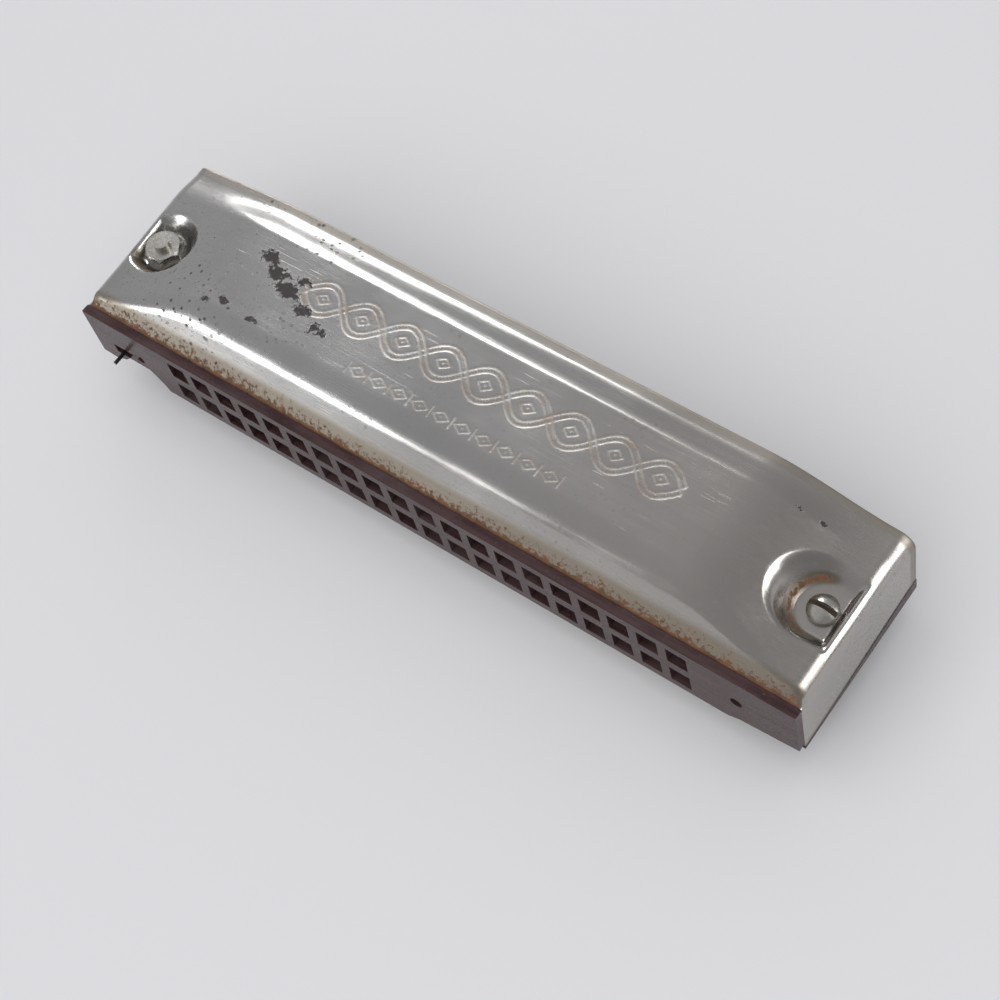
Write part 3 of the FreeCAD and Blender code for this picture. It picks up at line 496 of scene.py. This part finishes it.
def closed_sheet(outer, inner, rows, columns):
    """Vertices and faces of a sheet: a fine outer grid, a coarser inner one and a rim between them."""
    count_x, count_y = outer.shape[:2]
    number = np.arange(count_x * count_y).reshape(count_x, count_y)
    inner_part = inner[np.ix_(rows, columns)]
    inner_number = number.size + np.arange(len(rows) * len(columns)).reshape(len(rows), len(columns))
    faces = np.stack([number[:-1, :-1], number[1:, :-1], number[1:, 1:], number[:-1, 1:]], axis=-1)
    faces = faces.reshape(-1, 4).tolist()
    corners = (inner_number[:-1, :-1], inner_number[:-1, 1:], inner_number[1:, 1:], inner_number[1:, :-1])
    faces += np.stack(corners, axis=-1).reshape(-1, 4).tolist()
    edges = [
        (number[:, 0], inner_number[:, 0], rows, False),
        (number[:, -1], inner_number[:, -1], rows, True),
        (number[0, :], inner_number[0, :], columns, True),
        (number[-1, :], inner_number[-1, :], columns, False),
    ]
    for rim, inner_rim, marks, flip in edges:
        for index in range(len(marks) - 1):
            outside = list(rim[marks[index]:marks[index + 1] + 1])
            face = [int(v) for v in outside[::-1]] + [int(inner_rim[index]), int(inner_rim[index + 1])]
            faces.append(face[::-1] if flip else face)
    vertices = np.vstack([outer.reshape(-1, 3), inner_part.reshape(-1, 3)])
    return vertices, faces


def every(count, step):
    """Indices from 0 to count - 1, step apart, with both ends."""
    return sorted(set(list(range(0, count, step)) + [count - 1]))


# --- engraved ornament ----------------------------------------------------------------------------

LINE = 0.24                # width of an engraved outline
LINE_EDGE = 0.16           # width over which a line's depth fades
BAND_X = (-29.8, 34.7)     # ends of the interlaced band
BAND_Y = 2.6
WAVE_HEIGHT = 2.5
WAVE_LENGTH = 14.2
WAVE_START = -29.5         # a place where the two waves cross
RIBBON = 0.42              # from a wave's middle to each of its two outlines
HATCH_PITCH = 0.62
CHAIN_X = (-16.0, 20.0)    # ends of the chain of small lozenges
CHAIN_Y = -4.4
CHAIN_PITCH = 3.6
CHAIN_HEIGHT = 0.95


def stroke(distance, width):
    """1 on a line of that width, with soft edges."""
    return 1 - smooth((np.abs(distance) - width / 2) / LINE_EDGE + 0.5)


def wave_band(x, y):
    """Depth share of two interlaced hatched ribbons with a lozenge in each eye between them."""
    phase = 2 * math.pi * (x - WAVE_START) / WAVE_LENGTH
    local_y = y - BAND_Y
    slope = WAVE_HEIGHT * 2 * math.pi / WAVE_LENGTH * np.cos(phase)
    steepness = np.sqrt(1 + slope ** 2)
    cut = np.zeros_like(x)
    for sign in (-1, 1):
        gap = (local_y - sign * WAVE_HEIGHT * np.sin(phase)) / steepness
        for outline in (-RIBBON, RIBBON):
            cut = np.maximum(cut, stroke(gap - outline, LINE))
        hatch = stroke(np.mod(x + y, HATCH_PITCH) - HATCH_PITCH / 2, 0.2) * (np.abs(gap) < RIBBON)
        cut = np.maximum(cut, 0.6 * hatch)
    eye_x = np.mod(x - WAVE_START, WAVE_LENGTH / 2) - WAVE_LENGTH / 4
    lozenge = np.abs(eye_x) / 1.5 + np.abs(local_y) / 1.1
    cut = np.maximum(cut, stroke((lozenge - 0.8) * 1.2, 0.26))
    cut = np.maximum(cut, stroke(lozenge * 1.2, 0.34))
    return cut * smooth((x - BAND_X[0]) / 0.3) * smooth((BAND_X[1] - x) / 0.3)


def lozenge_chain(x, y):
    """Depth share of a row of small lozenges with a bar between each two."""
    local_x = np.mod(x - CHAIN_X[0], CHAIN_PITCH) - CHAIN_PITCH / 2
    local_y = y - CHAIN_Y
    link = np.abs(local_x) / 1.45 + np.abs(local_y) / CHAIN_HEIGHT
    lozenge = np.maximum(stroke((link - 0.9) * 1.1, LINE), stroke(link * 1.1, LINE))
    bar = stroke(np.abs(local_x) - CHAIN_PITCH / 2, 0.26) * (np.abs(local_y) < CHAIN_HEIGHT)
    return np.maximum(lozenge, bar) * (x > CHAIN_X[0]) * (x < CHAIN_X[1])


# --- wear of the covers, as numbers on their vertices ---------------------------------------------

BLOTCHES = (               # centre x, centre y, half length, half width, strength
    (-37.4, 4.6, 3.0, 2.2, 1.0),
    (-34.4, 2.9, 3.6, 2.2, 1.0),
    (-31.4, 1.2, 4.0, 2.3, 1.0),
    (-30.3, 3.4, 3.0, 1.6, 0.85),
    (-27.6, -0.4, 3.4, 1.9, 0.85),
    (-23.5, -2.0, 4.0, 2.0, 0.72),
    (-41.4, -5.9, 1.6, 1.1, 0.8),
    (-38.8, -4.8, 1.6, 1.1, 0.8),
    (-33.2, -5.4, 2.6, 1.0, 0.85),
    (47.9, 8.8, 0.9, 0.6, 0.9),
    (51.2, 8.9, 0.9, 0.6, 0.9),
)
RUST_RINGS = (             # bolt's place, direction of the rustiest part in degrees, strength
    (BOLT_X, 190, 0.78),
    (-BOLT_X, 300, 0.72),
)
RING_RADIUS = 4.3
RING_WIDTH = 0.55
RUST_HEIGHT = 1.4          # height over which the rust on the front foot fades
WALL_RUST_TOP = -9.3       # from the seat


def rust_places(x, y, z):
    """Rust along the front foot, on the back flange, around the bolts and low on the end walls."""
    on_top = np.abs(x) < COMB_END - 0.5
    foot = np.exp(-np.maximum(z, 0) / RUST_HEIGHT) * 0.55 + 0.32 * smooth((-10.2 - y) / 1.6)
    foot = np.where((y < -6) & on_top, foot + 0.5 * smooth(1 - z / 0.5), 0.0)
    flange = (0.24 + 0.10 * smooth((y - 13.6) / 0.4)) * smooth((y - STEP_Y[1] + 0.6) / 0.8)
    rings = np.zeros_like(x)
    for bolt_x, turn, strength in RUST_RINGS:
        reach = np.hypot(x - bolt_x, y)
        facing = np.cos(np.arctan2(y, x - bolt_x) - math.radians(turn))
        ring = np.exp(-((reach - RING_RADIUS) / RING_WIDTH) ** 2)
        rings = np.maximum(rings, strength * ring * smooth(0.5 + facing))
    wall = np.where(on_top, 0.0, 0.25 * smooth((WALL_RUST_TOP - z) / 2))
    return np.maximum.reduce([foot, flange, rings, wall])


def corrosion_places(x, y, z):
    """Black blotches on the upper side."""
    blotch = np.zeros_like(x)
    for centre_x, centre_y, long, wide, strength in BLOTCHES:
        reach = np.hypot((x - centre_x) / long, (y - centre_y) / wide)
        blotch = np.maximum(blotch, strength * smooth(1.15 - reach))
    return blotch * (z > 0)


def add_wear(piece, points, cut):
    """Numbers that tell the nickel where it is rusty, corroded, pitted, warm or engraved."""
    x, y, z = points[:, 0], points[:, 1], points[:, 2]
    engraving = np.zeros(len(x))
    engraving[:cut.size] = cut.ravel()
    add_attribute(piece, "edge_rust", rust_places(x, y, z))
    add_attribute(piece, "corrosion", corrosion_places(x, y, z))
    add_attribute(piece, "pitting", 0.15 + 0.85 * smooth((-x - 5) / 40))
    add_attribute(piece, "warmth", smooth((x + 10) / 60))
    add_attribute(piece, "engraving", engraving)


def make_cover(name, up, material):
    """Fine stamped sheet of the top cover, or of the plainer bottom one when up is -1."""
    top = up > 0
    if top:
        grid = cover_grid(TOP_ROWS, RECESSES, top_foot)
    else:
        grid = cover_grid(BOTTOM_ROWS, RECESSES, bottom_foot)
    normals = grid_normals(grid)
    x, y, z = grid[..., 0], grid[..., 1], grid[..., 2]
    pattern = np.maximum(wave_band(x, y), lozenge_chain(x, y))
    cut = pattern * smooth((z - CROWN_RISE + 0.4) / 0.3) * top
    dent = sum(depth * ripple(x, y, length, seed) for depth, length, seed in (LONG_DENT, SHORT_DENT))
    dent = np.minimum(dent * smooth((z - 0.6) / 1.5), MOST_DENT)
    outer = grid - normals * (CUT_DEPTH * cut + MOST_DENT - dent)[..., np.newaxis]
    inner = grid - normals * SHEET
    vertices, faces = closed_sheet(outer, inner, every(outer.shape[0], 5), every(outer.shape[1], 4))
    worn = vertices.copy()
    if not top:
        vertices[:, 0] *= (COMB_END - SHORT_END) / COMB_END
        vertices[:, 2] *= -1
        faces = [face[::-1] for face in faces]
    vertices[:, 2] += CENTRE_Z + up * SEAT
    piece = new_object(name + "_shell", vertices, faces, material)
    add_wear(piece, worn, cut)
    piece.data.shade_smooth()
    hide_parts(name)


# --- stage ----------------------------------------------------------------------------------------


def make_stage():
    """Pale floor that the object lies on."""
    size = 2.0             # metres
    corners = [(-size, -size, 0), (size, -size, 0), (size, size, 0), (-size, size, 0)]
    mesh = bpy.data.meshes.new("floor")
    mesh.from_pydata(corners, [], [(0, 1, 2, 3)])
    floor = bpy.data.objects.new("floor", mesh)
    floor.location.z = -0.1 * MM
    bpy.context.scene.collection.objects.link(floor)
    mesh.materials.append(floor_material())


def direction(azimuth, elevation):
    """Unit vector; azimuth 0 looks from the front (-Y), and 90 from the right (+X)."""
    turn = math.radians(azimuth)
    tilt = math.radians(elevation)
    return Vector((math.sin(turn) * math.cos(tilt), -math.cos(turn) * math.cos(tilt), math.sin(tilt)))


def add_softbox(name, azimuth, elevation, distance, width, height, watts, strip=False):
    """Rectangular lamp, in metres, aimed at the object: only a strip shows in reflections, and only there."""
    aim = Vector((0, 0, 0.02))
    data = bpy.data.lights.new(name, "AREA")
    data.shape = "RECTANGLE"
    data.size = width
    data.size_y = height
    data.energy = watts
    lamp = bpy.data.objects.new(name, data)
    lamp.location = aim + direction(azimuth, elevation) * distance
    lamp.rotation_euler = (aim - lamp.location).to_track_quat("-Z", "Y").to_euler()
    lamp.visible_diffuse = not strip
    lamp.visible_glossy = strip
    bpy.context.scene.collection.objects.link(lamp)


def make_world():
    """Dim studio, a little brighter towards the left where the room is lighter."""
    world = bpy.data.worlds.new("studio")
    world.use_nodes = True
    tree = world.node_tree
    view = tree.nodes.new("ShaderNodeTexCoord").outputs["Generated"]
    towards = tree.nodes.new("ShaderNodeVectorMath")
    towards.operation = "DOT_PRODUCT"
    tree.links.new(view, towards.inputs[0])
    towards.inputs[1].default_value = direction(-95, 25)
    change = tree.nodes.new("ShaderNodeMapRange")
    change.interpolation_type = "SMOOTHSTEP"
    tree.links.new(towards.outputs["Value"], change.inputs["Value"])
    for name, number in (("From Min", -0.30), ("From Max", 0.80), ("To Min", 0.32), ("To Max", 0.54)):
        change.inputs[name].default_value = number
    tree.links.new(change.outputs["Result"], tree.nodes["Background"].inputs["Strength"])
    tree.nodes["Background"].inputs["Color"].default_value = (0.97, 0.97, 1.0, 1)
    bpy.context.scene.world = world


def make_lights():
    """One large soft lamp above, and three strips that draw the highlights on the metal."""
    add_softbox("overhead_softbox", 20, 66, 1.2, 2.0, 2.0, 16.0)
    add_softbox("back_softbox", 221, 25, 1.0, 0.30, 0.60, 4.2, strip=True)
    add_softbox("front_softbox", -39, 10, 1.0, 0.34, 0.24, 2.3, strip=True)
    add_softbox("right_softbox", 117, 30, 1.0, 0.45, 0.66, 4.4, strip=True)


def make_camera():
    """Camera above the front right corner, rolled so that the object lies across the picture."""
    aim = Vector((0.01190, -0.00850, 0.0200))
    azimuth, elevation, roll = 52.795, 58.605, -19.09
    distance = 0.27851
    data = bpy.data.cameras.new("camera")
    data.lens = 75.65
    data.sensor_width = 36.0
    data.clip_start = 0.01
    data.clip_end = 10.0
    camera = bpy.data.objects.new("camera", data)
    view = direction(azimuth, elevation)
    turn = (-view).to_track_quat("-Z", "Y").to_matrix().to_4x4() @ Matrix.Rotation(math.radians(roll), 4, "Z")
    camera.matrix_world = Matrix.Translation(aim + view * distance) @ turn
    bpy.context.scene.collection.objects.link(camera)
    bpy.context.scene.camera = camera


# --- scene ----------------------------------------------------------------------------------------

PLATE_LIGHT, PLATE_DARK = (0.60, 0.43, 0.17), (0.33, 0.22, 0.10)
REED_LIGHT, REED_DARK = (0.70, 0.54, 0.25), (0.45, 0.31, 0.14)
RIVET_LIGHT, RIVET_DARK = (0.62, 0.47, 0.22), (0.36, 0.25, 0.12)
FASTENER_GREY, NAIL_GREY, SPRING_GREY = (0.62, 0.60, 0.55), (0.50, 0.49, 0.47), (0.12, 0.115, 0.11)
FLAT_ANGLE = math.radians(0.5)       # faces of the comb that meet at less than this become one
EDGE_ANGLE = math.radians(35)        # edges of the comb sharper than this are rounded
EDGE_ROUNDING = 0.22


def make_materials():
    """Every material, by the name of its slot in the CAD frame's record."""
    return {
        "comb_lacquer": lacquer_material(),
        "cover_nickel": nickel_material(),
        "plate_brass": brass_material("plate_brass", PLATE_LIGHT, PLATE_DARK, 160.0),
        "reed_brass": brass_material("reed_brass", REED_LIGHT, REED_DARK, 260.0),
        "rivet_brass": brass_material("rivet_brass", RIVET_LIGHT, RIVET_DARK, 500.0),
        "nail_steel": steel_material("nail_steel", NAIL_GREY, 0.7),
        "fastener_steel": steel_material("fastener_steel", FASTENER_GREY, 0.35, slotted=True),
        "spring_steel": steel_material("spring_steel", SPRING_GREY, 0.2),
        "valve_leather": leather_material(),
    }


def soften_comb(comb):
    """Joins the comb's flat facets and rounds its sharp edges."""
    flatten = comb.modifiers.new("flat_faces", "DECIMATE")
    flatten.decimate_type = "DISSOLVE"
    flatten.angle_limit = FLAT_ANGLE
    soften = comb.modifiers.new("soft_edges", "BEVEL")
    soften.width = EDGE_ROUNDING * MM
    soften.segments = 3
    soften.limit_method = "ANGLE"
    soften.angle_limit = EDGE_ANGLE


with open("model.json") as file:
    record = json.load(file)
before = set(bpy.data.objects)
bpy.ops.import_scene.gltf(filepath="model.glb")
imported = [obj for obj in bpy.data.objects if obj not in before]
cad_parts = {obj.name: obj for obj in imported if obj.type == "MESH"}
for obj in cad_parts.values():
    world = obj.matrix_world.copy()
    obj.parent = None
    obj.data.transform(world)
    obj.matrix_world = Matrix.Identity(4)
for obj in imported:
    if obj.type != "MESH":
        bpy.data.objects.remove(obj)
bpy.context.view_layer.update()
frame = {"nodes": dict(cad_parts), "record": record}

bpy.context.scene.view_settings.view_transform = "Standard"

materials = make_materials()
make_cover("top_cover", 1, materials["cover_nickel"])
make_cover("bottom_cover", -1, materials["cover_nickel"])
for part in frame["record"]["subparts"]:
    node = frame["nodes"][part["node"]]
    node.data.materials.clear()
    node.data.materials.append(materials[part["material_slot"]])
soften_comb(frame["nodes"]["comb"])

make_stage()
make_world()
make_lights()
make_camera()
